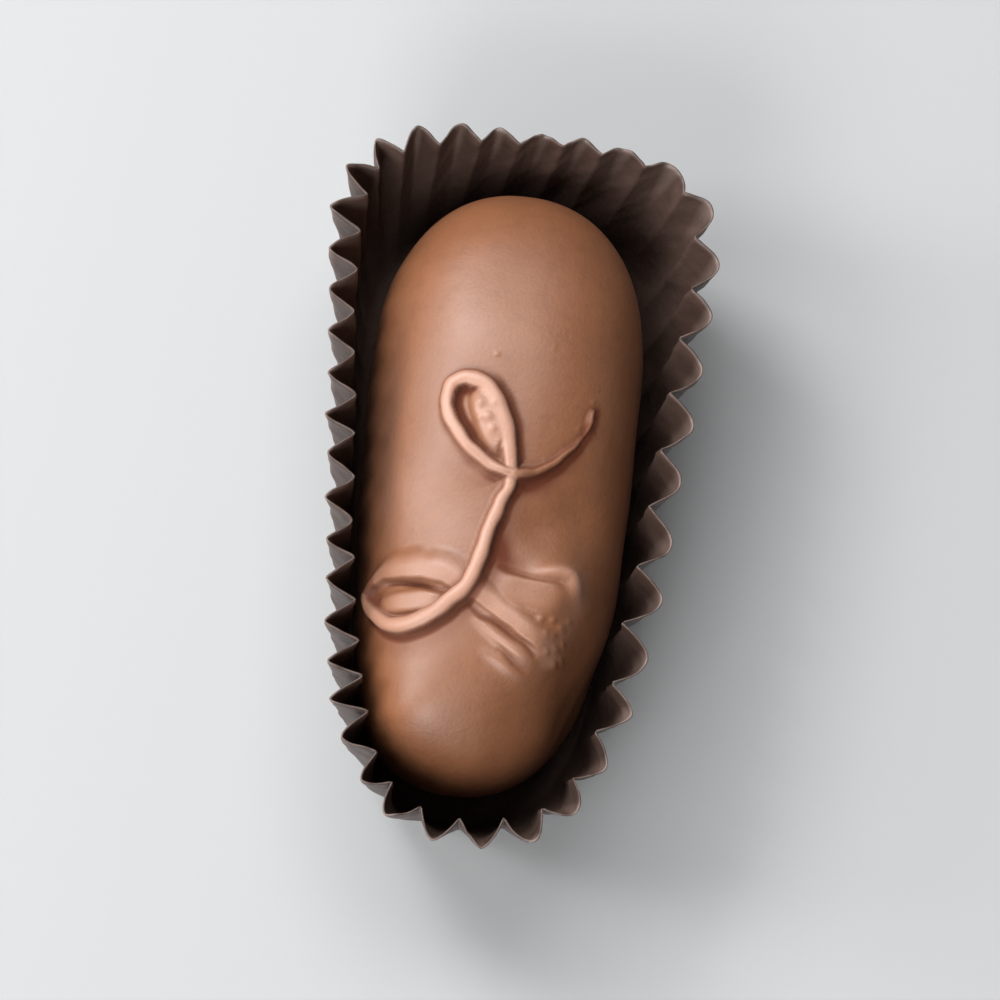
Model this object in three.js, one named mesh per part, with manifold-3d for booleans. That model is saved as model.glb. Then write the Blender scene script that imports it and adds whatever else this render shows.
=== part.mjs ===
// One finger of marzipan dipped in milk chocolate, with its strung mark, in a fluted paper case.
// Millimetres, +Z up. The long axis lies along Y, with the blunt end towards +Y.
// The origin is the middle of the case's underside.
import * as THREE from "three";
import { mergeVertices } from "three/addons/utils/BufferGeometryUtils.js";
import Module from "manifold-3d";

// The dipped finger
const fingerLength = 50.2;
const fingerHeight = 19;
const outlineHalfWidth = 11.8; // before the taper and the round ends take their share
const taper = 0.075; // share of the half width lost from the blunt end to the middle
const flankHeight = 7.6; // height of the widest line above the finger's underside
const bluntEnd = { outline: 3.7, crown: 3.8, side: 1 }; // powers of the end's roundness
const slimEnd = { outline: 4.2, crown: 4.4, side: -1 };
const slimTipSwing = 1.1; // how far the slim tip bends to the west
const undersidePower = 7; // keeps the underside flat nearly to both ends
const undersideDepth = 1.06; // past the flat foot, in flank heights
const crownRoundness = 2.25; // power of the section above the flanks
const footRoundness = 3.2; // power of the section below the flanks
const fingerMiddle = { x: 0.05, y: 1 }; // where the finger lies in its case
const fingerRings = 40;
const fingerSides = 44;

// Slow unevenness of the hand-dipped coat: height in mm, waves along, turns around, phase
const coatWaves = [
  { height: 0.2, along: 1.3, turns: 1, phase: 0.6 },
  { height: 0.14, along: 2.9, turns: 2, phase: 2.1 },
  { height: 0.07, along: 5.3, turns: 3, phase: 4.0 },
];
// Mounds and hollows of the coat: place on the plan, reach and height in mm
const coatMounds = [
  { x: 5.6, y: -9.9, reach: 3.4, height: 0.9 },
  { x: 4.5, y: -14.5, reach: 3.8, height: 1 },
  { x: 9.8, y: -17.5, reach: 6, height: -1.6 },
  { x: 6.2, y: -3.6, reach: 3.6, height: -0.65 },
  { x: -5, y: -21.5, reach: 4, height: 0.9 },
  { x: 3.6, y: -20.5, reach: 4, height: -0.5 },
  { x: 3.2, y: -5.2, reach: 2.6, height: -0.4 },
];

// The strung mark, one thread from its tail on: x, y on the plan, the thread's radius, its crest's rise
const strungMark = [
  [6.35, 5.1, 0.2, 0.2],
  [6.25, 4.2, 0.24, 0.3],
  [5.95, 3.2, 0.2, 0.22],
  [5.1, 1.8, 0.22, 0.28],
  [3.75, 0.3, 0.29, 0.42],
  [2.15, -0.8, 0.35, 0.6],
  [0.4, -1.2, 0.44, 1.15],
  [-1.44, -0.5, 0.54, 0.82],
  [-3.15, 1.0, 0.65, 0.86],
  [-4.47, 2.9, 0.66, 0.92],
  [-4.93, 4.8, 0.67, 0.94],
  [-4.48, 6.0, 0.68, 0.94],
  [-3.32, 6.35, 0.7, 0.94],
  [-2.0, 5.7, 0.7, 0.94],
  [-0.77, 3.77, 0.66, 0.94],
  [0.02, 1.2, 0.62, 0.92],
  [0.32, -2.0, 0.52, 0.86],
  [-0.33, -3.75, 0.61, 0.95],
  [-0.93, -5.76, 0.64, 1.0],
  [-1.44, -8.06, 0.68, 1.07],
  [-2.03, -10.2, 0.7, 1.14],
  [-3.4, -11.85, 0.7, 1.13],
  [-5.15, -13.25, 0.72, 1.06],
  [-7.32, -13.8, 0.7, 1.0],
  [-8.85, -12.6, 0.62, 0.92],
  [-9.7, -11.05, 0.5, 0.82],
  [-9.75, -9.8, 0.55, 0.65],
  [-8.6, -9.1, 0.62, 0.62],
  [-6.5, -9.1, 0.7, 0.64],
  [-4.3, -9.6, 0.66, 0.6],
  [-2.2, -10.6, 0.6, 0.54],
  [-0.3, -11.6, 0.56, 0.54],
  [1.5, -12.75, 0.56, 0.52],
  [3.3, -14.1, 0.5, 0.42],
  [4.9, -15.6, 0.4, -0.2],
];
// Stops where the thread is cut into stretches that don't cross themselves
const stretchEnds = [0, 12, 25, strungMark.length - 1];
const threadStep = 0.75; // between the rings of the thread
const threadSides = 8;

// The paper case. An outline's halves end in powers of their own, and acrossPower squares its corners.
const caseHeight = 16.4;
const paperThickness = 0.3;
const restGap = 0.3; // between the paper and the finger that lies on it
const floorInset = 0.9; // from the foot of the wall in to the flat floor
const creaseHeight = 0.5;
const wallRows = [0.12, 0.35, 0.65, 1]; // heights of the wall's rows of vertices, as shares
const wallFlare = 0.6; // power below 1: the wall bulges out round the finger
const foot = {
  halfWidth: 10.75, halfLength: 25.3, taper: 0.08,
  acrossPower: 2.3, northPower: 5.2, southPower: 4.4, middle: { x: -0.15, y: 0.7 },
};
const rim = {
  halfWidth: 13.1, halfLength: 28.85, taper: 0.2,
  acrossPower: 2.9, northPower: 9, southPower: 3.9, middle: { x: 0.05, y: 0.2 },
};
const fluteCount = 40;
const fluteColumns = 6; // columns of vertices to a flute
const fluteDepth = 1.15; // half of a flute's depth, at the rim
const fluteOpening = 1.05; // power by which a flute deepens up the wall
const fluteSharpness = 0.93; // 0 is a sine, 1 is a plain zigzag
const widerEastFlutes = 0.19; // the flutes are drawn open along the east side
const widerSideFlutes = 0.12; // and are closer at the ends than along the sides
const northFlattening = { amount: 0.65, reach: 0.11 }; // shallow flutes across the blunt end
const cornerDip = { share: 0.355, reach: 0.02, depth: 1.1 }; // the rim sags at the north-west corner

const milkChocolate = { color: 0xa8714f, roughness: 0.42, metalness: 0 };
const brownPaper = { color: 0x33251f, roughness: 0.5, metalness: 0 };

const signedPower = (value, power) => Math.sign(value) * Math.abs(value) ** power;

// 1 at the middle, falling to 0 about one reach and a half away.
const bell = (distance, reach) => Math.exp(-2 * (distance / reach) ** 2);

// What is left of a width near a round end; along is 0 in the middle and 1 at the tip.
const roundOff = (along, power, acrossPower = 2) =>
  Math.max(0, 1 - Math.abs(along) ** power) ** (1 / acrossPower);

// A closed body through rings of points that all run the same way round, with a fan at either end.
function loft(rings, firstTip, lastTip) {
  const sides = rings[0].length;
  const points = [firstTip, ...rings.flat(), lastTip];
  const triangles = [];
  const last = points.length - 1;
  const at = (ring, side) => 1 + ring * sides + (side % sides);
  for (let side = 0; side < sides; side++) {
    triangles.push(0, at(0, side + 1), at(0, side));
    triangles.push(last, at(rings.length - 1, side), at(rings.length - 1, side + 1));
    for (let ring = 0; ring + 1 < rings.length; ring++) {
      triangles.push(at(ring, side), at(ring, side + 1), at(ring + 1, side));
      triangles.push(at(ring, side + 1), at(ring + 1, side + 1), at(ring + 1, side));
    }
  }
  const geometry = new THREE.BufferGeometry().setFromPoints(points);
  geometry.setIndex(triangles);
  return geometry;
}

const fingerEnd = (along) => (along > 0 ? bluntEnd : slimEnd);

const narrowing = (along) => 1 - taper * (1 - along);

// The middle of the finger's width.
const swing = (along) => -slimTipSwing * Math.max(0, -along) ** 2.5;

// Half of the finger's width; along runs from -1 at the slim end to 1 at the blunt end.
function halfWidthAt(along) {
  return outlineHalfWidth * narrowing(along) * roundOff(along, fingerEnd(along).outline);
}

// How far the coat stands out from the plain form, in mm.
function coatRelief(along, turn, x, y) {
  let relief = 0;
  for (const { height, along: waves, turns, phase } of coatWaves)
    relief += height * Math.sin(waves * Math.PI * along + phase) * Math.cos(turns * turn + phase);
  relief *= 1 - along ** 4;
  const crownShare = THREE.MathUtils.smoothstep(Math.cos(turn), -0.5, 0.3);
  for (const mound of coatMounds)
    relief += crownShare * mound.height * bell(Math.hypot(x - mound.x, y - mound.y), mound.reach);
  return relief;
}

// A point of the coat. turn is 0 on the crown, +90 degrees on the east flank and 180 underneath.
function coatPoint(along, turn) {
  const end = fingerEnd(along);
  const y = (fingerLength / 2) * along;
  const up = Math.cos(turn) > 0;
  const power = 2 / (up ? crownRoundness : footRoundness);
  const rise = up
    ? (fingerHeight - flankHeight) * roundOff(along, end.crown) * (0.96 + 0.04 * narrowing(along))
    : flankHeight * undersideDepth * roundOff(along, undersidePower);
  const x = halfWidthAt(along) * signedPower(Math.sin(turn), power);
  const z = rise * signedPower(Math.cos(turn), power);
  const grown = 1 + coatRelief(along, turn, x, y) / Math.max(Math.hypot(x, z), 4);
  return new THREE.Vector3(swing(along) + x * grown, y, Math.max(0, flankHeight + z * grown));
}

function coatNormal(along, turn) {
  const nudge = 0.002;
  const lengthwise = coatPoint(along + nudge, turn).sub(coatPoint(along - nudge, turn));
  const around = coatPoint(along, turn + nudge).sub(coatPoint(along, turn - nudge));
  return around.cross(lengthwise).normalize();
}

// Which turn of the crown lies at x, y on the plan.
function crownTurn(x, y) {
  const along = y / (fingerLength / 2);
  const across = x - swing(along);
  const share = Math.min(1, Math.abs(across) / halfWidthAt(along));
  return Math.sign(across) * Math.asin(share ** (crownRoundness / 2));
}

function fingerGeometry() {
  const rings = [];
  for (let ring = 1; ring < fingerRings; ring++) {
    const along = Math.sin(Math.PI * (ring / fingerRings - 0.5));
    const points = [];
    for (let side = 0; side < fingerSides; side++)
      points.push(coatPoint(along, (2 * Math.PI * side) / fingerSides));
    rings.push(points);
  }
  return loft(rings, coatPoint(slimEnd.side, 0), coatPoint(bluntEnd.side, 0));
}

// The thread's path, lifted off the crown, with its radius from stop to stop.
function layThread() {
  const middles = strungMark.map(([x, y, radius, rise]) => {
    const along = y / (fingerLength / 2);
    const turn = crownTurn(x, y);
    return coatPoint(along, turn).addScaledVector(coatNormal(along, turn), rise - radius);
  });
  const path = new THREE.CatmullRomCurve3(middles);
  const radiusAt = (share) => {
    const place = share * (strungMark.length - 1);
    const stop = Math.min(Math.floor(place), strungMark.length - 2);
    return THREE.MathUtils.lerp(strungMark[stop][2], strungMark[stop + 1][2], place - stop);
  };
  return { path, radiusAt };
}

// One stretch of the thread, between two stops.
function threadGeometry({ path, radiusAt }, firstStop, lastStop) {
  const shareOf = (stop) => stop / (strungMark.length - 1);
  const shares = [];
  for (let stop = firstStop; stop < lastStop; stop++) {
    const length = path.getPoint(shareOf(stop)).distanceTo(path.getPoint(shareOf(stop + 1)));
    const steps = Math.ceil(length / threadStep);
    for (let step = 0; step < steps; step++)
      shares.push(shareOf(stop + step / steps));
  }
  shares.push(shareOf(lastStop));
  const rings = shares.map((share) => {
    const middle = path.getPoint(share);
    const ahead = path.getTangent(share);
    const sideways = ahead.clone().cross(new THREE.Vector3(0, 0, 1)).normalize();
    const upwards = sideways.clone().cross(ahead);
    return Array.from({ length: threadSides }, (_, side) => {
      const angle = (-2 * Math.PI * side) / threadSides;
      return middle.clone()
        .addScaledVector(sideways, radiusAt(share) * Math.cos(angle))
        .addScaledVector(upwards, radiusAt(share) * Math.sin(angle));
    });
  });
  const tip = (share, way) =>
    path.getPoint(share).addScaledVector(path.getTangent(share), way * 0.6 * radiusAt(share));
  return loft(rings, tip(shares[0], -1), tip(shares.at(-1), 1));
}

// A rounded oval, run through counter-clockwise from the east, whose two ends may differ.
class CaseOutline extends THREE.Curve {
  constructor(oval) {
    super();
    this.oval = oval;
    this.arcLengthDivisions = 1200;
  }

  getPoint(share, target = new THREE.Vector3()) {
    const { halfWidth, halfLength, taper: narrower, middle } = this.oval;
    const { acrossPower, northPower, southPower } = this.oval;
    const angle = 2 * Math.PI * share;
    const along = Math.sin(angle);
    const across = roundOff(along, along > 0 ? northPower : southPower, acrossPower);
    const width = halfWidth * (1 + narrower * along) * across * Math.sign(Math.cos(angle));
    return target.set(middle.x + width, middle.y + halfLength * along, 0);
  }

  // The outward direction on the plan.
  getOutwardAt(share) {
    const tangent = this.getTangentAt(share);
    return new THREE.Vector3(tangent.y, -tangent.x, 0).normalize();
  }
}

const footOutline = new CaseOutline(foot);
const rimOutline = new CaseOutline(rim);

const wrap = (share) => ((share % 1) + 1) % 1;

// Where a flute falls on the outlines; turnShare counts the flutes round the case.
function outlineShare(turnShare) {
  const once = (widerEastFlutes * Math.sin(2 * Math.PI * turnShare)) / (2 * Math.PI);
  const twice = (widerSideFlutes * Math.sin(4 * Math.PI * turnShare)) / (4 * Math.PI);
  return wrap(turnShare + once + twice);
}

// A flute's section: a zigzag on the west, round lobes with sharp inner folds on the east.
function fluteWave(turnShare) {
  const phase = turnShare * fluteCount;
  const zigzag = Math.asin(fluteSharpness * Math.sin(2 * Math.PI * phase)) / Math.asin(fluteSharpness);
  const lobes = 2 * Math.abs(Math.cos(Math.PI * (phase - 0.25))) - 1;
  return THREE.MathUtils.lerp(zigzag, lobes, (1 + Math.cos(2 * Math.PI * turnShare)) / 2);
}

// Flutes are deeper in some places than in others.
function fluteStrength(turnShare) {
  const uneven = 1
    + 0.09 * Math.sin(2 * Math.PI * (3 * turnShare + 0.2))
    + 0.08 * Math.sin(2 * Math.PI * (7 * turnShare + 0.6));
  const north = outlineShare(turnShare) - 0.25;
  return uneven * (1 - northFlattening.amount * bell(north, northFlattening.reach));
}

// A point in the middle of the paper. height is 0 at the wall's foot and 1 at the rim.
function paperPoint(turnShare, height) {
  const share = outlineShare(turnShare);
  const flare = height ** wallFlare;
  const middle = footOutline.getPointAt(share).lerp(rimOutline.getPointAt(share), flare);
  const depth = fluteDepth * fluteStrength(turnShare) * height ** fluteOpening;
  middle.addScaledVector(rimOutline.getOutwardAt(share), depth * fluteWave(turnShare));
  const dip = cornerDip.depth * bell(share - cornerDip.share, cornerDip.reach);
  return middle.setZ(creaseHeight + height * (caseHeight - dip - creaseHeight));
}

function paperNormal(turnShare, height) {
  const nudge = 0.0004;
  const around = paperPoint(turnShare + nudge, height).sub(paperPoint(turnShare - nudge, height));
  const up = paperPoint(turnShare, height).sub(paperPoint(turnShare, height - 0.04));
  return around.cross(up).normalize();
}

function caseGeometry() {
  const columns = Array.from(
    { length: fluteCount * fluteColumns },
    (_, column) => (column + 0.5) / (fluteCount * fluteColumns),
  );
  const wallRing = (height, side) => columns.map((column) =>
    paperPoint(column, height).addScaledVector(paperNormal(column, height), (side * paperThickness) / 2));
  const floorRing = (inset, z) => columns.map((column) => {
    const share = outlineShare(column);
    return footOutline.getPointAt(share).addScaledVector(footOutline.getOutwardAt(share), -inset).setZ(z);
  });
  const outside = [
    floorRing(floorInset, 0),
    floorRing(-paperThickness / 2, creaseHeight),
    ...wallRows.map((height) => wallRing(height, 1)),
  ];
  const inside = [
    floorRing(floorInset + paperThickness / 2, paperThickness),
    floorRing(paperThickness / 2, creaseHeight + paperThickness / 2),
    ...wallRows.map((height) => wallRing(height, -1)),
  ];
  const centre = (z) => new THREE.Vector3(foot.middle.x, foot.middle.y, z);
  return loft([...outside, ...inside.reverse()], centre(0), centre(paperThickness));
}

const wasm = await Module();
wasm.setup();

function toSolid(geometry) {
  const merged = mergeVertices(geometry, 1e-4);
  return new wasm.Manifold(new wasm.Mesh({
    numProp: 3,
    vertProperties: new Float32Array(merged.attributes.position.array),
    triVerts: new Uint32Array(merged.index.array),
  }));
}

function toGeometry(solid) {
  const { vertProperties, triVerts } = solid.getMesh();
  const geometry = new THREE.BufferGeometry();
  geometry.setAttribute("position", new THREE.BufferAttribute(vertProperties, 3));
  geometry.setIndex(new THREE.BufferAttribute(triVerts, 1));
  return geometry;
}

function namedMesh(name, geometry, finish) {
  geometry.computeVertexNormals();
  const mesh = new THREE.Mesh(geometry, new THREE.MeshStandardMaterial(finish));
  mesh.name = name;
  return mesh;
}

// The coat and its strung mark are one solid.
function dippedFinger() {
  const thread = layThread();
  let solid = toSolid(fingerGeometry());
  for (let stretch = 0; stretch + 1 < stretchEnds.length; stretch++)
    solid = solid.add(toSolid(threadGeometry(thread, stretchEnds[stretch], stretchEnds[stretch + 1])));
  const mesh = namedMesh("dipped_finger", toGeometry(solid), milkChocolate);
  mesh.position.set(fingerMiddle.x, fingerMiddle.y, paperThickness + restGap);
  return mesh;
}

const part = new THREE.Group();
part.add(dippedFinger(), namedMesh("paper_case", caseGeometry(), brownPaper));

export default part;
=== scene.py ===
import math

import bpy
import numpy as np
from mathutils import Matrix, Vector


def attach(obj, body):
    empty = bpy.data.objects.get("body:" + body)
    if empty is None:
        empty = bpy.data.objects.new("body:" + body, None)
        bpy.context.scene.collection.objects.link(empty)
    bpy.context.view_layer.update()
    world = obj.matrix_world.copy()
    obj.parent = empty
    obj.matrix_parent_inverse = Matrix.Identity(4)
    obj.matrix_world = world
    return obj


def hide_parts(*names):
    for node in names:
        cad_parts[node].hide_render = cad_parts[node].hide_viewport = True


# A finger of marzipan dipped in milk chocolate, with its strung mark, in a fluted case of brown
# glassine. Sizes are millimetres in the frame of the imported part, and meshes are made in metres.
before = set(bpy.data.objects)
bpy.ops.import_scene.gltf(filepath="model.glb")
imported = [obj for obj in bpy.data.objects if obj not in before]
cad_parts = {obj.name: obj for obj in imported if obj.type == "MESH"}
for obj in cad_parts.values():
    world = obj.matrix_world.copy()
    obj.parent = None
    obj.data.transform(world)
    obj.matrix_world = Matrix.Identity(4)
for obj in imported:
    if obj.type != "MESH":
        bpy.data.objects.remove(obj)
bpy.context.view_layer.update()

MM = 0.001

# The dipped finger, as the solid has it
FINGER_LENGTH = 50.2
FINGER_HEIGHT = 19.0
OUTLINE_HALF_WIDTH = 11.8
TAPER = 0.075
FLANK_HEIGHT = 7.6
BLUNT_END = {"outline": 3.7, "crown": 3.8}
SLIM_END = {"outline": 4.2, "crown": 4.4}
SLIM_TIP_SWING = 1.1
SWING_POWER = 2.5
UNDERSIDE_POWER = 7
UNDERSIDE_DEPTH = 1.06
CROWN_ROUNDNESS = 2.25
CROWN_TAPER = 0.04
FOOT_ROUNDNESS = 3.2
FINGER_PLACE = (0.05, 1.0, 0.6)

# Slow unevenness of the coat: height, waves along, turns around, phase
COAT_WAVES = [(0.2, 1.3, 1, 0.6), (0.14, 2.9, 2, 2.1), (0.07, 5.3, 3, 4.0)]
CALM_TIPS = 4  # power of the way along by which it dies away at the tips
# Mounds and hollows of the coat: x, y, reach, height
COAT_MOUNDS = [(5.6, -9.9, 3.4, 0.9), (4.5, -14.5, 3.8, 1.0), (9.8, -17.5, 6.0, -1.6),
               (6.2, -3.6, 3.6, -0.65), (-5.0, -21.5, 4.0, 0.9), (3.6, -20.5, 4.0, -0.5),
               (3.2, -5.2, 2.6, -0.4)]
# Cosines of the turns between which the mounds and the fine relief of the crown come up
MOUND_EDGE = (-0.5, 0.3)
CROWN_EDGE = (0, 0.2)
LEAST_RADIUS = 4  # of the coat that the relief is set against, however near the tip

# The strung mark from its tail on: x, y, radius, rise of its crest
STRUNG_MARK = [
    (6.35, 5.1, 0.2, 0.24), (6.25, 4.2, 0.26, 0.36), (5.98, 3.1, 0.16, 0.04),
    (5.1, 1.8, 0.22, 0.28), (3.75, 0.3, 0.29, 0.42), (2.15, -0.8, 0.35, 0.6),
    (0.4, -1.2, 0.44, 1.15), (-1.46, -0.52, 0.52, 0.82), (-3.22, 0.93, 0.58, 0.86),
    (-4.55, 2.86, 0.59, 0.92), (-5.0, 4.8, 0.6, 0.94), (-4.52, 6.03, 0.64, 0.94),
    (-3.32, 6.35, 0.7, 0.94), (-2.0, 5.7, 0.7, 0.94), (-0.77, 3.77, 0.66, 0.94),
    (0.02, 1.2, 0.62, 0.92), (0.34, -2.0, 0.5, 0.86), (-0.28, -3.75, 0.56, 0.95),
    (-0.87, -5.76, 0.58, 1.0), (-1.38, -8.06, 0.61, 1.07), (-2.0, -10.2, 0.65, 1.14),
    (-3.38, -11.85, 0.68, 1.13), (-5.15, -13.25, 0.72, 1.06), (-7.32, -13.8, 0.7, 1.0),
    (-8.85, -12.6, 0.62, 0.92), (-9.72, -11.05, 0.43, 0.8), (-9.5, -10.05, 0.44, 0.65),
    (-8.6, -9.3, 0.76, 0.6), (-6.5, -9.2, 0.95, 0.62), (-4.3, -9.5, 0.98, 0.56),
    (-2.2, -10.5, 0.8, 0.5), (-0.3, -11.6, 0.76, 0.52), (1.5, -12.75, 0.76, 0.5),
    (3.3, -14.1, 0.64, 0.38), (4.9, -15.6, 0.5, -0.3),
]
# The thread stands clear of the coat on its crisp stretch and is half drowned in it on the sunken
# one. Both are at their full height between the two stops of "full" and slide under outside them.
CRISP = {"stops": (0, 26), "full": (-1.0, 25.0), "slide": 1.6}
SUNKEN = {"stops": (25, 34), "full": (25.5, 35.0), "slide": 0.7}
SLIDE_DEPTH = 1.6
CRISP_FILLET = 0.3
CREST_FLATNESS = 2.4  # power of the crisp thread's section, 2 for round
SIDE_SLOPE = 1.9  # how fast its sides go on down past its radius
# The sunken stretch is steep on one side and runs out softly into the coat on the other: where
# its section starts to fall and where it meets the coat, in radii
STEEP_SIDE = (-0.45, -0.89)
STEEP_SIDE_EDGE = (-0.4, 0.4)
STEEP_RUN = (0.75, 1.1)
SOFT_RUN = (0.2, 2.1)
# The thread is squeezed out unevenly: amount, and the pace and phase of its waves along the stops
RADIUS_WOBBLE = (0.03, [(3.7, 0), (8.3, 1)])  # share of its radius
X_WOBBLE = (0.03, [(4.3, 2)])
Y_WOBBLE = (0.03, [(6.1, 0)])

# The search for the nearest place on the thread
PLACES_PER_STOP = 30
PLACES_AT_A_TIME = 15
SEARCH_REACH = 4
NO_THREAD = {"height": -3.0, "gap": 9.0}  # where none is within reach

# Painted shade along the crisp thread's foot, by mm from it: a painted shadow on its lee, the side
# turned away from the lamps, a fainter painted haze of shadow past it on the south half, and a soft
# painted dark line on its other side.
LEE = (0.83, -0.56)
LEE_EDGE = (-0.3, 0.5)
PAINTED_LEE_SHADOW = {"shade": 0.9, "fades": (0.45, 0.95)}
PAINTED_SHADOW_HAZE = {"shade": 0.33, "fades": (0.8, 2.5), "south_of": (0.5, 2.5)}
PAINTED_WINDWARD_SHADE = {"shade": 0.7, "reach": 0.45}
FILLED_FOOT = (0.25, 0.6)  # heights of a fill between which the shade dies away
BARE_EDGE = (-0.15, 0.05)  # heights over the coat between which the crisp thread comes clear
SHADE_EDGE = (0, 0.2)  # depths inside the thread's edge over which that shade ends

# How much of the thread's paler tone shows, by its stops: partly paler chocolate, partly a painted
# highlight on the raised thread
TAIL_TONE = {"share": 0.05, "until": (4.5, 8)}
LOWER_LOOP_TONE = {"less": 0.2, "from": (20, 22)}
SUNKEN_TONE = {"share": 0.4, "edge": (-0.6, 0.4)}
TURN_TONE = {"more": 0.4, "until": (25.8, 27)}
LAST_CROSSING_TONE = {"more": 0.45, "middle": 31, "reach": 1.5}
# On fills it grows with their height and its square, on ridges with their height: a painted
# highlight on the raised relief
DRAGGED_TONE = {"fill": 0.15, "ridge": 1.7, "most": 0.8}

# Fine relief that the thread drags along with it: x, y on the plan. Each crease also carries a
# painted shade; the wide faint ones are little more than painted shadow.
CREASES = [
    {"depth": 0.24, "reach": 0.30, "shade": 0.5, "path": [
        (0.2, -8.75), (0.9, -8.95), (2.4, -9.25), (3.7, -9.4), (5.1, -9.4)]},
    {"depth": 0.30, "reach": 0.28, "shade": 0.85, "path": [
        (-1.7, -12.2), (-0.9, -12.8), (0.1, -13.1), (0.9, -13.55), (1.85, -14.2), (2.85, -14.75),
        (3.7, -15.5)]},
    {"depth": 0.16, "reach": 0.26, "shade": 0.6, "path": [
        (0.8, -15.1), (1.4, -15.6), (2.2, -16.3), (3.2, -16.8)]},
    {"depth": 0.50, "reach": 0.26, "shade": 1.0, "path": [
        (-8.2, -10.2), (-7.4, -10.25), (-6.7, -10.4), (-5.7, -10.6), (-4.7, -10.9), (-3.6, -11.1)]},
    {"depth": 0.20, "reach": 0.30, "shade": 0.8, "path": [
        (-8.8, -12.1), (-8.95, -11.5), (-8.7, -10.9)]},
    {"depth": 0.05, "reach": 1.10, "shade": 0.8, "path": [
        (0.2, -6.2), (0.3, -7.2), (0.7, -8.1), (1.5, -8.5)]},
    {"depth": 0.22, "reach": 0.32, "shade": 0.9, "path": [
        (-1.9, 0.65), (-2.75, 1.4), (-3.35, 2.3), (-3.95, 3.15), (-4.3, 4.1), (-4.35, 4.85),
        (-3.95, 5.4), (-3.2, 5.5)]},
    {"depth": 0.04, "reach": 0.36, "shade": 0.9, "path": [(6.35, 3.9), (6.25, 3.3), (6.0, 2.7)]},
    {"depth": 0.05, "reach": 0.75, "shade": 0.9, "path": [
        (0.6, -2.4), (1.5, -2.2), (2.6, -1.6), (3.7, -0.7), (4.8, 0.4), (5.8, 1.7)]},
]
RIDGES = [
    {"height": 0.46, "reach": 0.90, "path": [
        (3.3, -8.85), (4.4, -8.6), (5.4, -8.55), (6.05, -8.8), (6.35, -9.5), (6.4, -10.3)]},
    {"height": 0.42, "reach": 0.66, "path": [
        (-1.0, -13.3), (0.35, -14.25), (1.35, -14.85), (2.35, -15.4), (3.4, -16.0)]},
    {"height": 0.18, "reach": 0.60, "path": [
        (-0.2, -15.6), (0.8, -16.1), (1.8, -16.7), (3.0, -17.3)]},
]
CREASE_SHADE_SPREAD = 1.25
LINE_ENDS = {"cut": 0.06, "power": 0.7}  # how a crease or ridge fades at its ends
LINE_PLACES_PER_STOP = 24
LINE_MARGIN = 3  # beyond this far from a crease or ridge it counts as nothing
FILLS = [
    {"height": 0.84, "x": -1.5, "y": 3.2, "long": 2.75, "wide": 1.4, "lean": 23},
    {"height": 0.52, "x": -6.2, "y": -11.85, "long": 0.95, "wide": 2.4, "lean": 3},
    {"height": 0.30, "x": 3.0, "y": -10.6, "long": 1.45, "wide": 2.7, "lean": -8},
]
FILL_SQUARENESS = 3
FILL_EDGE = 2.3  # how suddenly a fill ends
# Beads and crumbs of chocolate on the coat: x, y, radius
DROPS = [
    (-2.5, 4.3, 0.5), (-1.8, 3.2, 0.45), (-1.4, 2.2, 0.4), (-2.5, 3.0, 0.36), (-0.9, 1.1, 0.36),
    (-1.4, 4.3, 0.36), (-1.6, 8.6, 0.24), (2.9, 9.7, 0.2), (3.9, -12.6, 0.4), (4.4, -13.6, 0.4),
    (6.5, 5.9, 0.22), (6.9, 3.2, 0.2), (5.5, 3.5, 0.18), (3.1, 0.2, 0.26), (4.6, 1.4, 0.2),
    (4.9, -12.5, 0.34), (5.6, -13.0, 0.4), (5.0, -13.7, 0.36), (5.9, -14.1, 0.32),
    (5.3, -14.6, 0.42), (6.0, -15.2, 0.3), (4.6, -15.0, 0.34), (5.4, -15.7, 0.36),
    (6.2, -12.3, 0.28),
]
DROP = {"height": 0.35, "reach": 1.1}  # in radii
# Painted shade low on the coat's west flank: degrees round from the crown, and where along it
PAINTED_WEST_SHADE = {"degrees": (42, 57), "middle": 1, "reach": 17}

FINE_STEP = 0.132  # between the vertices over the mark
PLAIN_STEP = 0.5
MARKED_Y = (-17.8, 8.2)
MARKED_TURN = (-84, 50)  # degrees
STEP_GROWS = {"y": 3, "turn": 22}  # mm and degrees past the mark within which the step grows

# The paper case, as the solid has it
CASE_HEIGHT = 16.4
CREASE_HEIGHT = 0.5
FLOOR_INSET = 0.9
WALL_FLARE = 0.6
FOOT = {"half_width": 10.75, "half_length": 25.3, "taper": 0.08, "across": 2.3,
        "north": 5.2, "south": 4.4, "middle": (-0.15, 0.7)}
RIM = {"half_width": 13.1, "half_length": 28.85, "taper": 0.2, "across": 2.9,
       "north": 9, "south": 3.9, "middle": (0.05, 0.2)}
FLUTES = 40
FLUTE_DEPTH = 1.15
FLUTE_OPENING = 1.05
FLUTE_SHARPNESS = 0.93
FLUTE_CREST = 0.25  # its place in a flute
WIDER_EAST_FLUTES = 0.19
WIDER_SIDE_FLUTES = 0.12
# By share of the outline's length from the east
NORTH_FLATTENING = {"share": 0.25, "reach": 0.11, "amount": 0.65}
CORNER_DIP = {"share": 0.355, "reach": 0.02, "depth": 1.1}
OUTLINE_SAMPLES = 1201

GLASSINE_THICKNESS = 0.14  # of the shell that shows
COLUMNS_TO_A_FLUTE = 24
WALL_ROWS = 30
ROWS_NEARER_FOOT = 1.15  # power that sets them closer together there
# No two flutes are pressed alike: spread of their depths and shift of their folds, in flutes
FLUTE_SPREAD = 0.10
FOLD_SHIFT = 0.07
# Flutes are deeper in some places than in others: share, waves round the case, where they start
FLUTE_WAVES = [(0.09, 3, 0.2), (0.08, 7, 0.6)]
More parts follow.
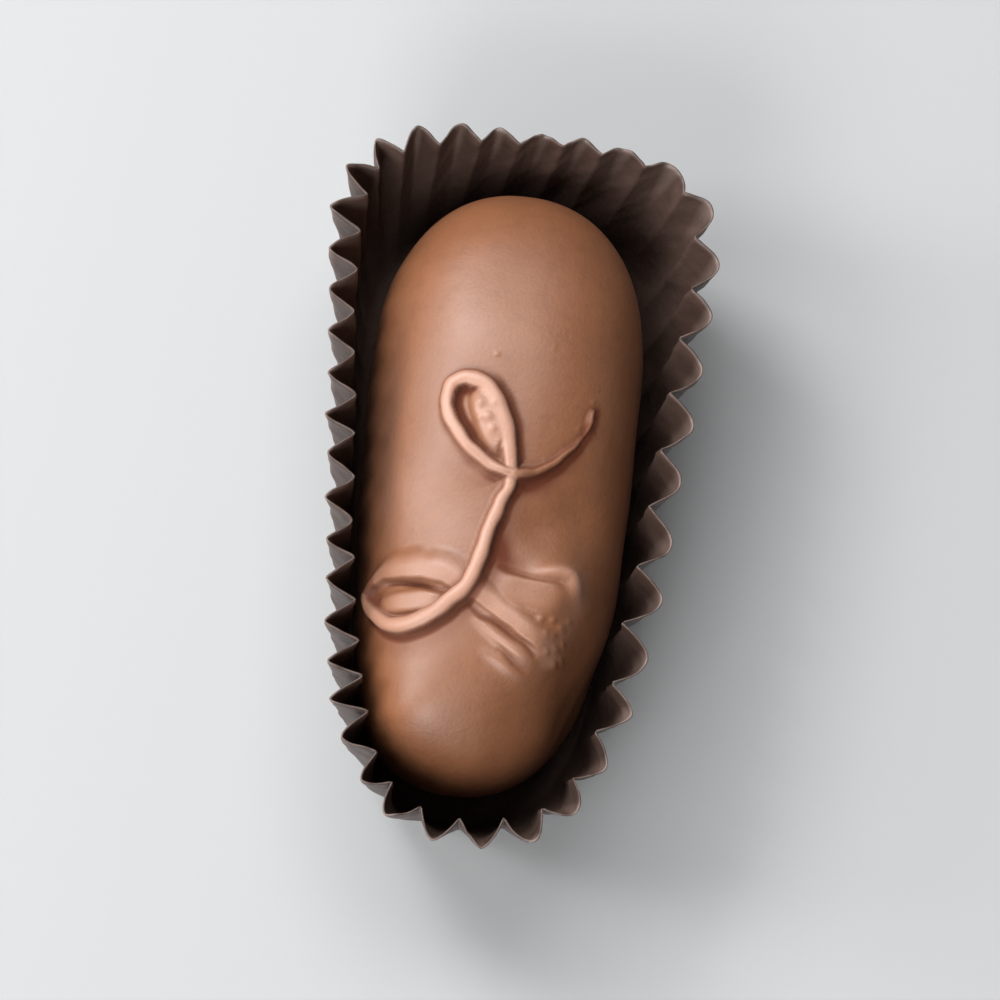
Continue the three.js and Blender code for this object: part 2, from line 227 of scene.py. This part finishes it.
# Slow buckling of the paper: height, waves round the case, waves up the wall, phase
BUCKLES = [(0.06, 17, 1.6, 0.4), (0.05, 43, 2.9, 1.9), (0.04, 71, 4.3, 3.3),
           (0.03, 113, 6.1, 5.2)]
# The cut of the rim wanders: height, waves round the case, phase
RIM_CUT = [(0.09, 29, 0.7), (0.07, 67, 2.2), (0.05, 131, 4.9)]
RIM_CUT_FADE = 8  # power of the height by which it fades down the wall

chance = np.random.default_rng(11)
FLUTE_DEPTHS = 1 + FLUTE_SPREAD * chance.uniform(-1, 1, FLUTES)
FOLD_SHIFTS = FOLD_SHIFT * chance.uniform(-1, 1, FLUTES)


def signed_power(value, power):
    return np.sign(value) * np.abs(value) ** power


def bell(distance, reach):
    """1 at the middle, falling to 0 about one reach and a half away."""
    return np.exp(-2 * (distance / reach) ** 2)


def round_off(along, power, across_power=2.0):
    """What is left of a width near a round end."""
    return np.maximum(0, 1 - np.abs(along) ** power) ** (1 / across_power)


def smooth_step(value, low, high):
    share = np.clip((value - low) / (high - low), 0, 1)
    return share * share * (3 - 2 * share)


def spline(stops, per_stop):
    """A smooth run through the stops, which may carry more values than x and y."""
    stops = np.array(stops, float)
    padded = np.vstack([2 * stops[0] - stops[1], stops, 2 * stops[-1] - stops[-2]])
    gaps = np.maximum(np.linalg.norm(np.diff(padded[:, :2], axis=0), axis=1) ** 0.5, 1e-3)
    runs = []
    share = np.linspace(0, 1, per_stop, endpoint=False)[:, None]
    for first in range(len(stops) - 1):
        a, b, c, d = padded[first:first + 4]
        before, here, after = gaps[first:first + 3]
        leave = ((b - a) / before - (c - a) / (before + here) + (c - b) / here) * here
        arrive = ((c - b) / here - (d - b) / (here + after) + (d - c) / after) * here
        runs.append(b + leave * share + (3 * (c - b) - 2 * leave - arrive) * share ** 2
                    + (2 * (b - c) + leave + arrive) * share ** 3)
    return np.vstack([*runs, stops[-1:]])


def spaced(places, step):
    """Values from the first place to the last, set as closely as the step at each place asks."""
    between = 2 * np.diff(places) / (step[1:] + step[:-1])
    count = np.concatenate([[0], np.cumsum(between)])
    return np.interp(np.linspace(0, count[-1], int(round(count[-1])) + 1), count, places)


# The coat

def by_end(along, key):
    return np.where(along > 0, BLUNT_END[key], SLIM_END[key])


def narrowing(along):
    return 1 - TAPER * (1 - along)


def swing(along):
    return -SLIM_TIP_SWING * np.maximum(0, -along) ** SWING_POWER


def half_width_at(along):
    return OUTLINE_HALF_WIDTH * narrowing(along) * round_off(along, by_end(along, "outline"))


def coat_relief(along, turn, x, y):
    relief = sum(height * np.sin(waves * np.pi * along + phase) * np.cos(turns * turn + phase)
                 for height, waves, turns, phase in COAT_WAVES) * (1 - along ** CALM_TIPS)
    crown_share = smooth_step(np.cos(turn), *MOUND_EDGE)
    return relief + crown_share * sum(
        height * bell(np.hypot(x - mound_x, y - mound_y), reach)
        for mound_x, mound_y, reach, height in COAT_MOUNDS)


def coat_point(along, turn):
    """A point of the plain coat. The turn is 0 on the crown and grows towards the east flank."""
    up = np.cos(turn) > 0
    power = 2 / np.where(up, CROWN_ROUNDNESS, FOOT_ROUNDNESS)
    crown_rise = ((FINGER_HEIGHT - FLANK_HEIGHT) * round_off(along, by_end(along, "crown"))
                  * (1 - CROWN_TAPER + CROWN_TAPER * narrowing(along)))
    foot_rise = FLANK_HEIGHT * UNDERSIDE_DEPTH * round_off(along, UNDERSIDE_POWER)
    x = half_width_at(along) * signed_power(np.sin(turn), power)
    y = FINGER_LENGTH / 2 * along
    z = np.where(up, crown_rise, foot_rise) * signed_power(np.cos(turn), power)
    grown = 1 + coat_relief(along, turn, x, y) / np.maximum(np.hypot(x, z), LEAST_RADIUS)
    return np.stack([swing(along) + x * grown, y + 0 * x,
                     np.maximum(0, FLANK_HEIGHT + z * grown)], -1)


def coat_normal(along, turn, nudge=0.002):
    lengthwise = coat_point(along + nudge, turn) - coat_point(along - nudge, turn)
    around = coat_point(along, turn + nudge) - coat_point(along, turn - nudge)
    normal = np.cross(around, lengthwise)
    return normal / np.linalg.norm(normal, axis=-1, keepdims=True)


def crown_turn(x, y):
    along = y / (FINGER_LENGTH / 2)
    across = x - swing(along)
    share = np.minimum(1, np.abs(across) / half_width_at(along))
    return np.sign(across) * np.arcsin(share ** (CROWN_ROUNDNESS / 2))


def wobble(stop, amount, waves):
    return amount * sum(np.sin(pace * stop + phase) for pace, phase in waves)


def thread_path(stretch):
    """Stops along a stretch, with the thread's middles there, its radii and its rises."""
    first_stop, last_stop = stretch["stops"]
    x, y, radius, rise = spline(STRUNG_MARK[first_stop:last_stop + 1], PLACES_PER_STOP).T
    stop = np.linspace(first_stop, last_stop, len(x))
    past = np.maximum(stretch["full"][0] - stop, stop - stretch["full"][1])
    rise = rise - SLIDE_DEPTH * smooth_step(past, 0, stretch["slide"])
    radius = radius * (1 + wobble(stop, *RADIUS_WOBBLE))
    x = x + wobble(stop, *X_WOBBLE)
    y = y + wobble(stop, *Y_WOBBLE)
    along, turn = y / (FINGER_LENGTH / 2), crown_turn(x, y)
    middles = coat_point(along, turn) + coat_normal(along, turn) * (rise - radius)[:, None]
    return stop, middles, radius, rise


# Both sections give a height over the coat from the same measures: how high the middle of the
# thread is, how far off and on which side of it the point lies, and the thread's radius and rise.

def crisp_section(level, away, side, radius, rise):
    power = CREST_FLATNESS
    inside = np.maximum(0, radius ** power - away ** power) ** (1 / power)
    return level + inside - SIDE_SLOPE * np.maximum(0, away - radius)


def sunken_section(level, away, side, radius, rise):
    steep = smooth_step(side @ STEEP_SIDE, *STEEP_SIDE_EDGE)
    falls, meets = (soft + (sharp - soft) * steep for soft, sharp in zip(SOFT_RUN, STEEP_RUN))
    return rise * (1 - smooth_step(away / radius, falls, meets))


def thread_height(points, normals, stretch, section):
    """How far the thread stands out over each point along its normal, the gap from the point to
    the thread, how far the point lies on the thread's lee, and the thread's nearest stop."""
    stops, middles, radii, rises = thread_path(stretch)
    height = np.full(len(points), NO_THREAD["height"])
    gap = np.full(len(points), NO_THREAD["gap"])
    lee, nearest_stop = np.zeros(len(points)), np.zeros(len(points))
    for first in range(0, len(middles), PLACES_AT_A_TIME):
        run = slice(first, first + PLACES_AT_A_TIME)
        some, radius = middles[run], radii[run]
        near = np.flatnonzero(np.abs(points - some.mean(0)).max(1) < SEARCH_REACH)
        offset = some[None] - points[near][:, None]
        level = (offset * normals[near][:, None]).sum(-1)
        away = np.sqrt(np.maximum(0, (offset ** 2).sum(-1) - level ** 2))
        side = -offset[..., :2] / np.maximum(away, 1e-6)[..., None]
        lift = section(level, away, side, radius, rises[run])
        height[near] = np.maximum(height[near], lift.max(1))
        row, nearest = np.arange(len(near)), (away - radius).argmin(1)
        closest = (away - radius)[row, nearest]
        closer = closest < gap[near]
        gap[near[closer]] = closest[closer]
        lee[near[closer]] = (side[row, nearest] @ LEE)[closer]
        nearest_stop[near[closer]] = stops[run][nearest][closer]
    return height, gap, lee, nearest_stop


def melt_together(low, high, foot):
    """The higher of two heights, with a fillet where they meet."""
    share = np.maximum(foot - np.abs(low - high), 0) / foot
    return np.maximum(low, high) + share * share * foot / 4


def line_bell(x, y, path, reach):
    """A soft line on the plan that fades out towards its two ends."""
    run = spline(path, LINE_PLACES_PER_STOP)
    share = np.linspace(LINE_ENDS["cut"], 1 - LINE_ENDS["cut"], len(run))
    fade = np.sin(np.pi * share) ** LINE_ENDS["power"]
    (west, south), (east, north) = run.min(0) - LINE_MARGIN, run.max(0) + LINE_MARGIN
    near = np.flatnonzero((x > west) & (x < east) & (y > south) & (y < north))
    away = np.hypot(x[near][:, None] - run[:, 0], y[near][:, None] - run[:, 1])
    value = np.zeros(len(x))
    value[near] = (bell(away, reach) * fade).max(1)
    return value


def all_lines(x, y, lines, size, spread=1.0):
    """The sum of some creases or ridges, each as strong as its entry of that name says."""
    return sum(line[size] * line_bell(x, y, line["path"], spread * line["reach"])
               for line in lines)


def fill_bell(x, y, fill):
    lean = math.radians(fill["lean"])
    right, up = x - fill["x"], y - fill["y"]
    across = right * math.cos(lean) + up * math.sin(lean)
    along = -right * math.sin(lean) + up * math.cos(lean)
    return np.exp(-(np.abs(across / fill["wide"]) ** FILL_SQUARENESS
                    + np.abs(along / fill["long"]) ** FILL_SQUARENESS) ** FILL_EDGE)


def coat_grid():
    """Rows along the finger and columns round it, close together over the mark."""
    typical_section, samples = -0.3, 4000
    angle = np.linspace(-math.pi / 2, math.pi / 2, samples)
    y = FINGER_LENGTH / 2 * np.sin(angle)
    past = np.maximum(MARKED_Y[0] - y, y - MARKED_Y[1])
    step = FINE_STEP + (PLAIN_STEP - FINE_STEP) * smooth_step(past, 0, STEP_GROWS["y"])
    along = np.sin(spaced(angle, step / (FINGER_LENGTH / 2)))[1:-1]
    turn = np.linspace(-math.pi, math.pi, 10 * samples + 1)
    section = coat_point(np.full_like(turn, typical_section), turn)
    pace = np.linalg.norm(np.diff(section, axis=0), axis=1) / np.diff(turn)
    pace = np.append(pace, pace[-1])
    degrees = np.degrees(turn)
    past = np.maximum(MARKED_TURN[0] - degrees, degrees - MARKED_TURN[1])
    step = FINE_STEP + (PLAIN_STEP - FINE_STEP) * smooth_step(past, 0, STEP_GROWS["turn"])
    return along, spaced(turn, step / pace)[:-1]


def foot_shade(gap, lee, filled, y):
    """The painted shade of the coat along the foot of the crisp thread: painted shadow on its lee
    and a painted dark line on its other side.
    """
    lee_share = smooth_step(lee, *LEE_EDGE)
    unfilled = 1 - smooth_step(filled, *FILLED_FOOT)
    lee_shadow = (1 - smooth_step(gap, *PAINTED_LEE_SHADOW["fades"])) * unfilled
    shadow_haze = (PAINTED_SHADOW_HAZE["shade"] * (1 - smooth_step(gap, *PAINTED_SHADOW_HAZE["fades"]))
            * smooth_step(-y, *PAINTED_SHADOW_HAZE["south_of"]))
    windward_shade = bell(np.maximum(gap, 0), PAINTED_WINDWARD_SHADE["reach"]) * (1 - lee_share) * unfilled
    return (np.maximum(PAINTED_LEE_SHADOW["shade"] * lee_shadow, shadow_haze) * lee_share
            + PAINTED_WINDWARD_SHADE["shade"] * windward_shade)


def crisp_tone(exposed, stop):
    """How much of its paler tone the crisp stretch shows: partly paler chocolate, partly painted
    highlight.
    """
    past_tail = (1 - TAIL_TONE["share"]) * smooth_step(stop, *TAIL_TONE["until"])
    lower_loop = LOWER_LOOP_TONE["less"] * smooth_step(stop, *LOWER_LOOP_TONE["from"])
    return exposed * (TAIL_TONE["share"] + past_tail - lower_loop)


def sunken_tone(gap, stop):
    crossing = bell(stop - LAST_CROSSING_TONE["middle"], LAST_CROSSING_TONE["reach"])
    tone = (SUNKEN_TONE["share"] + LAST_CROSSING_TONE["more"] * crossing
            + TURN_TONE["more"] * (1 - smooth_step(stop, *TURN_TONE["until"])))
    return tone * smooth_step(-gap, *SUNKEN_TONE["edge"])


def dragged_tone(filled, ridged):
    tone = filled * filled + DRAGGED_TONE["fill"] * filled + DRAGGED_TONE["ridge"] * ridged
    return np.clip(tone, 0, DRAGGED_TONE["most"])


def coat_surface():
    """Points of the finished coat row by row, its two tips, and how each point is marked."""
    along, turn = coat_grid()
    along_grid, turn_grid = (g.ravel() for g in np.meshgrid(along, turn, indexing="ij"))
    plain = coat_point(along_grid, turn_grid)
    normal = coat_normal(along_grid, turn_grid)
    x, y = plain[:, 0], plain[:, 1]
    crown = smooth_step(np.cos(turn_grid), *CROWN_EDGE)

    filled = sum(fill["height"] * fill_bell(x, y, fill) for fill in FILLS)
    ridged = all_lines(x, y, RIDGES, "height")
    dent = all_lines(x, y, CREASES, "depth")
    # The creases' painted shade
    shade = all_lines(x, y, CREASES, "shade", CREASE_SHADE_SPREAD)
    sunken, sunken_gap, _, sunken_stop = thread_height(plain, normal, SUNKEN, sunken_section)
    relief = np.cbrt((filled + ridged) ** 3 + np.maximum(sunken, 0) ** 3)
    for drop_x, drop_y, radius in DROPS:
        away = np.hypot(x - drop_x, y - drop_y)
        relief = relief + DROP["height"] * radius * bell(away, DROP["reach"] * radius)
    crisp, gap, lee, crisp_stop = thread_height(plain, normal, CRISP, crisp_section)
    exposed = smooth_step(crisp - (relief - dent), *BARE_EDGE)
    relief = melt_together(relief - dent, crisp, CRISP_FILLET) * crown

    # The paler tone: partly paler chocolate, partly painted highlight on the raised thread, fills
    # and ridges
    tones = [crisp_tone(exposed, crisp_stop), sunken_tone(sunken_gap, sunken_stop),
             dragged_tone(filled, ridged)]
    # Painted shade in the creases and painted shadow along the crisp thread's foot, kept off the
    # thread's own top
    shade = np.clip(shade + foot_shade(gap, lee, filled, y), 0, 1)
    shade = shade * (1 - exposed * smooth_step(-gap, *SHADE_EDGE))
    # Painted shade low on the west flank
    flank = (smooth_step(-np.degrees(turn_grid), *PAINTED_WEST_SHADE["degrees"])
             * bell(y - PAINTED_WEST_SHADE["middle"], PAINTED_WEST_SHADE["reach"]))

    points = plain + normal * relief[:, None]
    tips = coat_point(np.array([-1.0, 1.0]), np.zeros(2))
    marks = {"strand": np.max(tones, axis=0) * crown, "crevice": shade * crown,
             "flank": flank * crown}
    return points, tips, (len(along), len(turn)), marks


# The paper case

def outline_points(oval, share):
    """Points of an oval by their share of its length, counter-clockwise from the east."""
    def point(turn):
        angle = 2 * np.pi * turn
        along = np.sin(angle)
        end = np.where(along > 0, oval["north"], oval["south"])
        across = round_off(along, end, oval["across"])
        width = oval["half_width"] * (1 + oval["taper"] * along) * across * np.sign(np.cos(angle))
        return np.stack([oval["middle"][0] + width,
                         oval["middle"][1] + oval["half_length"] * along], -1)
    turns = np.linspace(0, 1, OUTLINE_SAMPLES)
    pieces = np.linalg.norm(np.diff(point(turns), axis=0), axis=1)
    length = np.concatenate([[0], np.cumsum(pieces)])
    return point(np.interp((share % 1) * length[-1], length, turns))


def outward(oval, share, nudge=1e-4):
    tangent = outline_points(oval, share + nudge) - outline_points(oval, share - nudge)
    tangent /= np.linalg.norm(tangent, axis=-1, keepdims=True)
    return np.stack([tangent[..., 1], -tangent[..., 0]], -1)


def outline_share(turn):
    once = WIDER_EAST_FLUTES * np.sin(2 * np.pi * turn) / (2 * np.pi)
    twice = WIDER_SIDE_FLUTES * np.sin(4 * np.pi * turn) / (4 * np.pi)
    return (turn + once + twice) % 1


def from_flute_to_flute(turn, values):
    """A value for each flute, blended smoothly between their middles."""
    place = turn * FLUTES
    first = np.floor(place).astype(int)
    share = smooth_step(place - first, 0, 1)
    return values[first % FLUTES] * (1 - share) + values[(first + 1) % FLUTES] * share


def flute_wave(turn):
    phase = turn * FLUTES + from_flute_to_flute(turn, FOLD_SHIFTS)
    zigzag = np.arcsin(FLUTE_SHARPNESS * np.sin(2 * np.pi * phase)) / np.arcsin(FLUTE_SHARPNESS)
    lobes = 2 * np.abs(np.cos(np.pi * (phase - FLUTE_CREST))) - 1
    east = (1 + np.cos(2 * np.pi * turn)) / 2
    return zigzag + (lobes - zigzag) * east


def flute_strength(turn):
    uneven = sum((share * np.sin(2 * np.pi * (waves * turn + start))
                  for share, waves, start in FLUTE_WAVES), 1)
    north = outline_share(turn) - NORTH_FLATTENING["share"]
    flattened = 1 - NORTH_FLATTENING["amount"] * bell(north, NORTH_FLATTENING["reach"])
    return uneven * flattened * from_flute_to_flute(turn, FLUTE_DEPTHS)


def paper_point(turn, height):
    """A point in the middle of the paper. The height is 0 at the wall's foot and 1 at the rim."""
    share = outline_share(turn)
    flare = np.maximum(height, 0)[..., None] ** WALL_FLARE
    plan = outline_points(FOOT, share) * (1 - flare) + outline_points(RIM, share) * flare
    depth = FLUTE_DEPTH * flute_strength(turn) * np.maximum(height, 0) ** FLUTE_OPENING
    buckle = sum(size * np.sin(2 * np.pi * (round_it * turn + up_it * height) + phase)
                 for size, round_it, up_it, phase in BUCKLES) * np.maximum(height, 0)
    plan = plan + outward(RIM, share) * (depth * flute_wave(turn) + buckle)[..., None]
    dip = CORNER_DIP["depth"] * bell(share - CORNER_DIP["share"], CORNER_DIP["reach"])
    cut = sum(size * (np.sin(2 * np.pi * waves * turn + phase) - 1)
              for size, waves, phase in RIM_CUT)
    rim = CASE_HEIGHT - dip + cut * height ** RIM_CUT_FADE
    z = CREASE_HEIGHT + height * (rim - CREASE_HEIGHT)
    return np.concatenate([plan, z[..., None]], -1)


def paper_normal(turn, height, nudge=0.0004, drop=0.04):
    around = paper_point(turn + nudge, height) - paper_point(turn - nudge, height)
    up = paper_point(turn, height) - paper_point(turn, height - drop)
    normal = np.cross(around, up)
    return normal / np.linalg.norm(normal, axis=-1, keepdims=True)


def case_surface():
    """Rings of the paper shell, up its outside and down its inside, with the two floor middles."""
    columns = (np.arange(FLUTES * COLUMNS_TO_A_FLUTE) + 0.5) / (FLUTES * COLUMNS_TO_A_FLUTE)
    share = outline_share(columns)
    heights = np.linspace(0, 1, WALL_ROWS + 1)[1:] ** ROWS_NEARER_FOOT
    half = GLASSINE_THICKNESS / 2

    def wall(height, side):
        level = np.full_like(columns, height)
        return paper_point(columns, level) + paper_normal(columns, level) * side * half

    def floor(inset, z):
        plan = outline_points(FOOT, share) - outward(FOOT, share) * inset
        return np.concatenate([plan, np.full((len(plan), 1), z)], -1)

    outside = [floor(FLOOR_INSET, 0), floor(-half, CREASE_HEIGHT)]
    outside += [wall(h, 1) for h in heights]
    inside = [floor(FLOOR_INSET + half, 2 * half), floor(half, CREASE_HEIGHT + half)]
    inside += [wall(h, -1) for h in heights]
    rings = outside + inside[::-1]
    tips = np.array([[*FOOT["middle"], 0], [*FOOT["middle"], 2 * half]])
    up = np.concatenate([[0, 0], heights])
    climb = np.concatenate([up, up[::-1]])
    # Where the folds' outward crests are, for their painted glint and lighter worn paper
    marks = {"fold": np.repeat(climb, len(columns)) * np.tile(flute_wave(columns), len(rings))}
    return np.vstack(rings), tips, (len(rings), len(columns)), marks


# Meshes

def closed_piece(name, surface, place=(0, 0, 0)):
    """A closed mesh through rows of points, with a fan to an unmarked tip at either end."""
    points, tips, (rows, columns), marks = surface
    row, column = np.meshgrid(np.arange(rows - 1), np.arange(columns), indexing="ij")
    after = (column + 1) % columns
    this, next_one = row * columns, (row + 1) * columns
    quads = np.stack([this + column, this + after, next_one + after, next_one + column], -1)
    around = np.arange(columns)
    ahead = (around + 1) % columns
    last = (rows - 1) * columns
    first_tip, last_tip = len(points), len(points) + 1
    fans = [(first_tip, b, a) for a, b in zip(around, ahead)]
    fans += [(last_tip, last + a, last + b) for a, b in zip(around, ahead)]
    mesh = bpy.data.meshes.new(name)
    vertices = (np.vstack([points, tips]) + np.array(place)) * MM
    faces = quads.reshape(-1, 4).tolist() + [tuple(map(int, fan)) for fan in fans]
    mesh.from_pydata(vertices.tolist(), [], faces)
    for mark, values in marks.items():
        layer = mesh.attributes.new(mark, "FLOAT", "POINT")
        layer.data.foreach_set("value", np.concatenate([values, [0, 0]]).astype(np.float32))
    mesh.shade_smooth()
    piece = bpy.data.objects.new(name, mesh)
    bpy.context.scene.collection.objects.link(piece)
    return piece


# Finishes

class Value:
    """A number, colour or vector inside a finish, which takes part in plain arithmetic."""

    def __init__(self, finish, socket):
        self.finish, self.socket = finish, socket

    def _math(self, operation, first, second):
        return self.finish.node("ShaderNodeMath", {"operation": operation}, {0: first, 1: second})

    def __add__(self, other):
        return self._math("ADD", self, other)

    def __rsub__(self, other):
        return self._math("SUBTRACT", other, self)

    def __mul__(self, other):
        return self._math("MULTIPLY", self, other)

    __radd__ = __add__
    __rmul__ = __mul__


class Finish:
    """A material made of nodes, each added by one method."""

    def __init__(self, name, **constants):
        self.material = bpy.data.materials.new(name)
        self.material.use_nodes = True
        self.tree = self.material.node_tree
        self.shader = self.tree.nodes["Principled BSDF"]
        for socket, value in constants.items():
            self.shader.inputs[socket.replace("_", " ")].default_value = value

    def node(self, kind, settings=None, inputs=None, output=0):
        node = self.tree.nodes.new(kind)
        for setting, value in (settings or {}).items():
            if setting == "stops":
                self._set_stops(node.color_ramp, value)
            else:
                setattr(node, setting, value)
        for socket, value in (inputs or {}).items():
            self.feed(node.inputs[socket], value)
        return Value(self, node.outputs[output])

    def feed(self, socket, value):
        if isinstance(value, Value):
            self.tree.links.new(value.socket, socket)
        else:
            socket.default_value = value

    def set(self, socket, value):
        self.feed(self.shader.inputs[socket], value)

    @staticmethod
    def _set_stops(ramp, stops):
        while len(ramp.elements) < len(stops):
            ramp.elements.new(1)
        for element, (place, value) in zip(ramp.elements, stops):
            element.position = place
            element.color = (value, value, value, 1)

    def place(self):
        return self.node("ShaderNodeTexCoord", output="Object")

    def noise(self, size, detail=2.0, roughness=0.5):
        """Cloudy variation from 0 to 1 with patches of about that many millimetres."""
        return self.node("ShaderNodeTexNoise", None, {
            "Vector": self.place(), "Scale": 1 / (size * MM), "Detail": detail,
            "Roughness": roughness}, "Fac")

    def cells(self, size):
        """Distance to the nearest of many scattered spots, in spot spacings."""
        return self.node("ShaderNodeTexVoronoi", None,
                         {"Vector": self.place(), "Scale": 1 / (size * MM), "Randomness": 1.0},
                         "Distance")

    def steps(self, value, *stops):
        return self.node("ShaderNodeValToRGB", {"stops": stops}, {"Fac": value}, "Color")

    def mark(self, name):
        return self.node("ShaderNodeAttribute", {"attribute_name": name}, None, "Fac")

    def mix(self, share, first, second):
        """A colour between two colours."""
        return self.node("ShaderNodeMix", {"data_type": "RGBA", "clamp_factor": True},
                         {0: share, 6: first, 7: second}, 2)

    def bump(self, height, depth):
        """A fine relief of that many millimetres."""
        return self.node("ShaderNodeBump", None,
                         {"Strength": 1.0, "Distance": depth * MM, "Height": height})


def colour(red, green, blue):
    """A colour for a shader, from its 0 to 255 values on screen."""
    def linear(value):
        share = value / 255
        return share / 12.92 if share <= 0.04045 else ((share + 0.055) / 1.055) ** 2.4
    return (linear(red), linear(green), linear(blue), 1)


def milk_chocolate():
    finish = Finish("milk_chocolate", IOR=1.46, Specular_IOR_Level=0.35, Coat_Roughness=0.48,
                    Subsurface_Weight=0.06, Subsurface_Scale=0.0008,
                    Subsurface_Radius=(1.0, 0.45, 0.25))
    cloud = finish.noise(7, 2)
    mottle = finish.noise(1.1, 3, 0.6)
    fleck = finish.noise(0.28, 2, 0.6)
    base = finish.mix(cloud, colour(107, 65, 39), colour(125, 79, 50))
    base = finish.mix(finish.steps(mottle, (0.5, 0), (0.8, 0.35)), base, colour(92, 52, 31))
    base = finish.mix(finish.steps(fleck, (0.62, 0), (0.8, 0.3)), base, colour(138, 90, 60))
    # Painted shade and shadow: creases and the coat along the thread's foot go deep brown, and
    # there the coat is also rougher and less coated
    crevice = finish.mark("crevice")
    # The paler tone: partly paler chocolate, partly painted highlight on the raised thread and
    # relief
    base = finish.mix(finish.mark("strand") * 0.92, base, colour(157, 116, 96))
    # Painted shade low on the west flank
    base = finish.mix(finish.mark("flank") * 0.85, base, colour(62, 36, 22))
    base = finish.mix(crevice * 0.9, base, colour(77, 30, 9))
    finish.set("Base Color", base)
    finish.set("Roughness", 0.42 + 0.10 * finish.noise(2.4, 3) + crevice * 0.4)
    finish.set("Coat Weight", 0.7 * (1 - crevice))
    grain = finish.noise(0.32, 3, 0.6)
    ripple = finish.noise(2.6, 1)
    pit = finish.steps(finish.cells(1.3), (0.0, 0), (0.09, 1))
    finish.set("Normal", finish.bump(grain * 0.5 + ripple + pit * 0.25, 0.08))
    return finish.material


def brown_glassine():
    finish = Finish("brown_glassine", IOR=1.5, Specular_IOR_Level=0.45)
    fibre = finish.noise(0.5, 4, 0.65)
    cloud = finish.noise(6, 3)
    base = finish.mix(cloud, colour(60, 45, 39), colour(80, 63, 56))
    base = finish.mix(fibre * 0.4, base, colour(49, 35, 30))
    # Lighter towards the outward crests of the folds, more so up the wall: painted glint on the
    # crests, partly lighter worn paper
    crest = finish.steps(finish.mark("fold"), (0.55, 0), (0.98, 1))
    base = finish.mix(crest * 0.5, base, colour(118, 102, 95))
    finish.set("Base Color", base)
    finish.set("Roughness", 0.36 + 0.2 * cloud)
    crumple = finish.noise(1.8, 3, 0.55)
    finish.set("Normal", finish.bump(fibre * 0.15 + crumple, 0.16))
    return finish.material


def pale_paper():
    finish = Finish("pale_floor", Roughness=0.85)
    finish.set("Base Color", colour(156, 157, 158))
    return finish.material


# Camera and light

CAMERA_PLACE = Vector((-26.65, -120.9, 474.0)) * MM
CAMERA_AIM = Vector((0.4, 0.4, 9.0)) * MM
PICTURE_UP = Vector((-0.0941, 0.9956, 0.0))
CAMERA_LENS = 213
CAMERA_SENSOR = 36
CAMERA_NEAREST = 0.01


def aimed(place, aim, up):
    """A turn and place that looks from one point at another."""
    back = (place - aim).normalized()
    right = up.cross(back).normalized()
    turn = Matrix((right, back.cross(right), back)).transposed()
    return Matrix.Translation(place) @ turn.to_4x4()


def set_camera():
    camera = bpy.data.objects.new("camera", bpy.data.cameras.new("camera"))
    camera.data.lens = CAMERA_LENS
    camera.data.sensor_width = CAMERA_SENSOR
    camera.data.clip_start = CAMERA_NEAREST
    camera.matrix_world = aimed(CAMERA_PLACE, CAMERA_AIM, PICTURE_UP)
    bpy.context.scene.collection.objects.link(camera)
    bpy.context.scene.camera = camera


# Soft boxes round the piece: bearing from the north and height in degrees, size in metres, watts
SOFT_BOXES = {
    "west_low": (270, 25, 0.16, 1.50),
    "west": (270, 42, 0.16, 1.20),
    "north_west_low": (310, 42, 0.18, 1.95),
    "north_west": (315, 52, 0.20, 1.45),
    "north": (0, 62, 0.30, 1.90),
    "south_west": (225, 40, 0.25, 0.80),
    "south": (200, 40, 0.25, 1.90),
    "south_low": (195, 20, 0.20, 0.75),
}
SOFT_BOX_DISTANCE = 0.6
SOFT_BOX_AIM = Vector((0, 0, 0.01))
SOFT_BOX_UP = Vector((0, 0.3, 1))
ROOM_LIGHT = 0.13
FLOOR_HALF = 0.6


def add_soft_box(name, bearing, height, size, watts):
    bearing, height = math.radians(bearing), math.radians(height)
    place = Vector((math.sin(bearing) * math.cos(height), math.cos(bearing) * math.cos(height),
                    math.sin(height))) * SOFT_BOX_DISTANCE
    lamp = bpy.data.lights.new(name, "AREA")
    lamp.shape = "SQUARE"
    lamp.size = size
    lamp.energy = watts
    holder = bpy.data.objects.new(name, lamp)
    holder.matrix_world = aimed(place, SOFT_BOX_AIM, SOFT_BOX_UP)
    bpy.context.scene.collection.objects.link(holder)


def set_light():
    for name, box in SOFT_BOXES.items():
        add_soft_box(name, *box)
    world = bpy.data.worlds.new("studio")
    world.use_nodes = True
    background = world.node_tree.nodes["Background"]
    background.inputs["Color"].default_value = (1, 1, 1, 1)
    background.inputs["Strength"].default_value = ROOM_LIGHT
    bpy.context.scene.world = world
    bpy.context.scene.view_settings.view_transform = "Standard"


def lay_floor():
    corners = [(x * FLOOR_HALF, y * FLOOR_HALF, 0)
               for x, y in ((-1, -1), (1, -1), (1, 1), (-1, 1))]
    mesh = bpy.data.meshes.new("floor")
    mesh.from_pydata(corners, [], [(0, 1, 2, 3)])
    mesh.materials.append(pale_paper())
    floor = bpy.data.objects.new("floor", mesh)
    bpy.context.scene.collection.objects.link(floor)


def finish_piece(piece, node, material):
    piece.data.materials.append(material)
    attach(piece, "root")
    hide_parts(node)


set_camera()
set_light()
lay_floor()
finger = closed_piece("chocolate_coat", coat_surface(), FINGER_PLACE)
finish_piece(finger, "dipped_finger", milk_chocolate())
case = closed_piece("glassine_case", case_surface())
finish_piece(case, "paper_case", brown_glassine())
